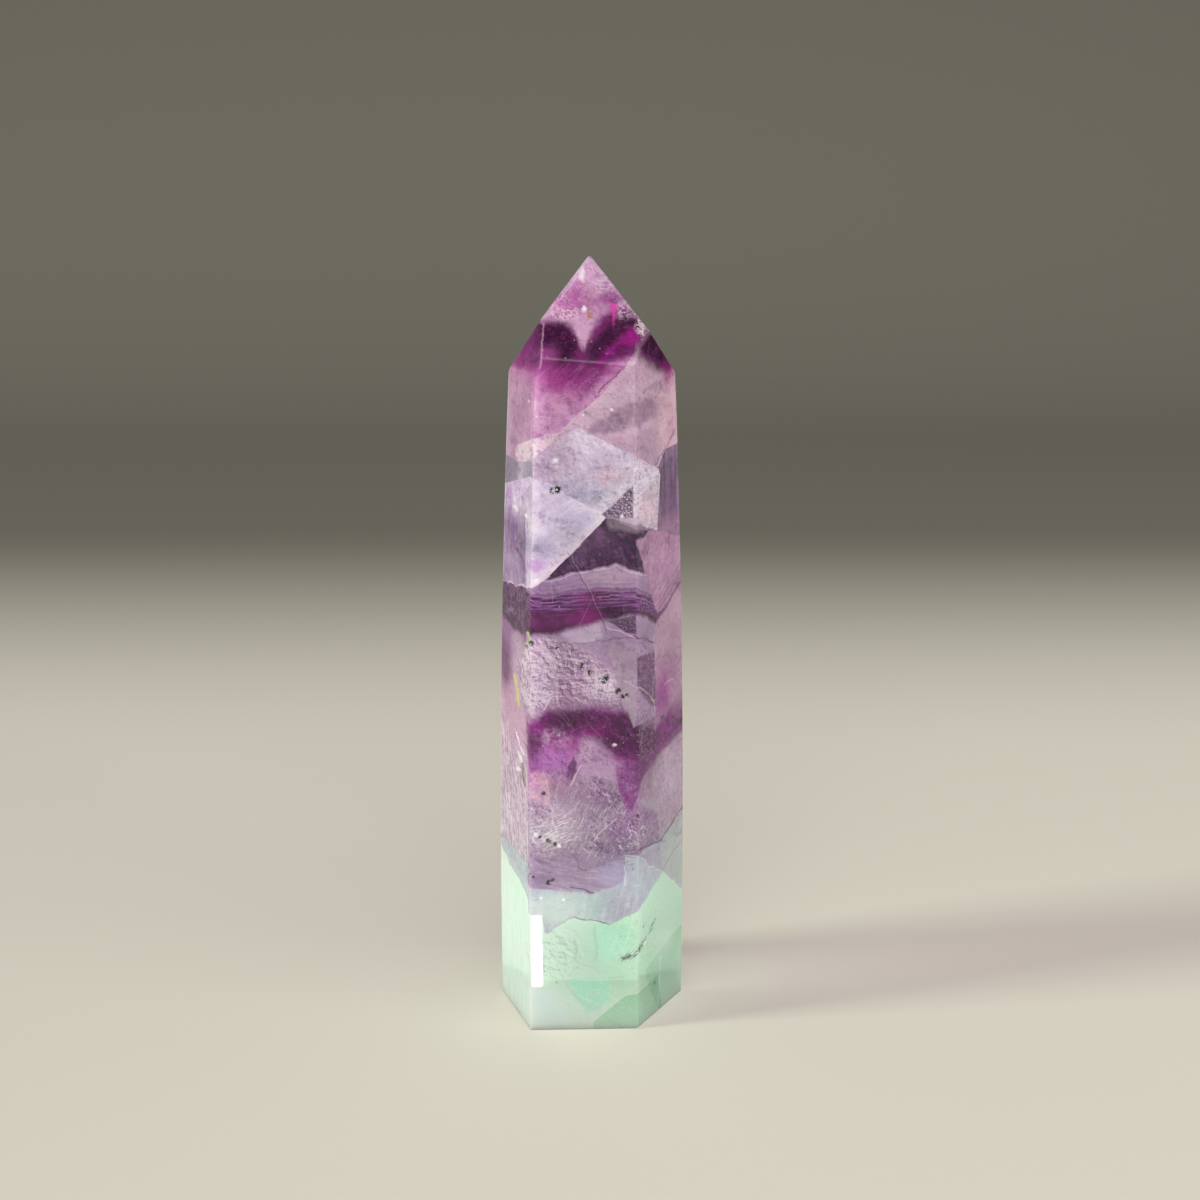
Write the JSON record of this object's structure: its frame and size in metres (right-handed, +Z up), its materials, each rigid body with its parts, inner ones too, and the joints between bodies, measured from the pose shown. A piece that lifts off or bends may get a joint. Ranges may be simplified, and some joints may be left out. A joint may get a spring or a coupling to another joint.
{
  "type": "fluorite point",
  "caption": "Polished crystal tower of banded purple and mint-green fluorite, six-sided, with a faceted tip and a flat sawn base that it stands on.",
  "frame": {"origin": "middle of the flat sawn base, on the surface that the tower stands on", "axes": "+Z up the tower towards its tip, -Y out of the broad front side, +X to the right as seen from the front"},
  "size_m": [0.0222, 0.0188, 0.0897],
  "materials": {
    "fluorite": "polished, part see-through fluorite, banded mint green at the base, then lilac, purple and magenta towards the tip, with whitish cleavage veils and dark specks inside"
  },
  "bodies": {
    "root": {"fluorite_point": "fluorite"}
  },
  "joints": []
}
